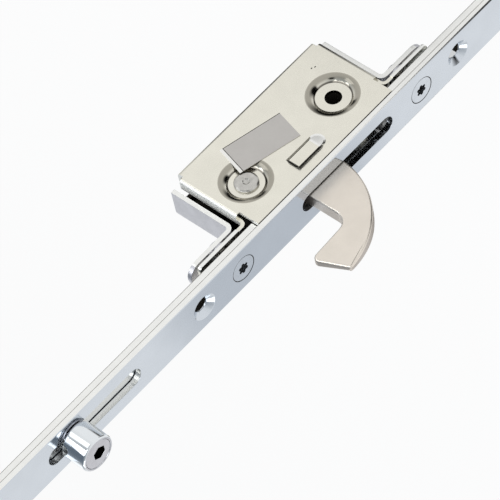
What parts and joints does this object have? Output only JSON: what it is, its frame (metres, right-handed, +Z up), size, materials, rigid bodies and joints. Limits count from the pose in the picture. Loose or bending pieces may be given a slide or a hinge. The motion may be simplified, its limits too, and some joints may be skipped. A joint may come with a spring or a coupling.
{
  "type": "multipoint door lock",
  "caption": "Door-edge lock strip: a sliding rail behind a steel faceplate swings a hook bolt out of a pressed case and carries an adjustable roller cam.",
  "frame": {"origin": "on the faceplate's back face, midway between its fixing holes", "axes": "+Z up the door edge, -Y out of the faceplate's front, +X out of the case cover"},
  "size_m": [0.0166, 0.0586, 0.248],
  "materials": {
    "plate_steel": "bright zinc plated",
    "rail_steel": "zinc plated, drawn",
    "tray_steel": "zinc plated, pressed",
    "cover_steel": "satin zinc plated, pressed",
    "hook_steel": "sintered, satin plated",
    "rivet_steel": "headed, satin",
    "bush_steel": "turned, zinc plated",
    "screw_steel": "cold headed, bright zinc plated",
    "roller_steel": "ground and polished",
    "spring_steel": "hardened, bare"
  },
  "bodies": {
    "base": {"faceplate": "plate_steel", "case_tray": "tray_steel", "case_cover": "cover_steel", "pivot_rivet": "rivet_steel", "pivot_sleeve": "bush_steel", "cover_washer": "bush_steel", "tray_washer": "bush_steel", "upper_case_screw": "screw_steel", "lower_case_screw": "screw_steel", "upper_spacer": "bush_steel", "lower_spacer": "bush_steel", "upper_press_nut": "bush_steel", "lower_press_nut": "bush_steel"},
    "rail": {"drive_rail": "rail_steel", "roller_washer": "bush_steel", "roller_spring_washer": "spring_steel"},
    "hook": {"hook": "hook_steel"},
    "roller_pin": {"roller_pin": "roller_steel"},
    "roller_sleeve": {"roller_sleeve": "roller_steel"}
  },
  "joints": [
    {"name": "rail_slide", "type": "slide", "parent": "base", "child": "rail", "axis": [0, 0, -1], "range_m": [0, 0.016]},
    {"name": "hook_swing", "type": "hinge", "parent": "base", "child": "hook", "pos_m": [0, 0.0134, 0.0189], "axis": [1, 0, 0], "range_deg": [0, 74]},
    {"name": "roller_setting", "type": "hinge", "parent": "rail", "child": "roller_pin", "pos_m": [0, 0, 0.1088], "axis": [0, -1, 0], "continuous": true},
    {"name": "roller_spin", "type": "hinge", "parent": "roller_pin", "child": "roller_sleeve", "pos_m": [0, 0, 0.1093], "axis": [0, -1, 0], "continuous": true}
  ],
  "couplings": [
    {"joint": "hook_swing", "follows": "rail_slide", "rad_per_m": 80.72}
  ]
}
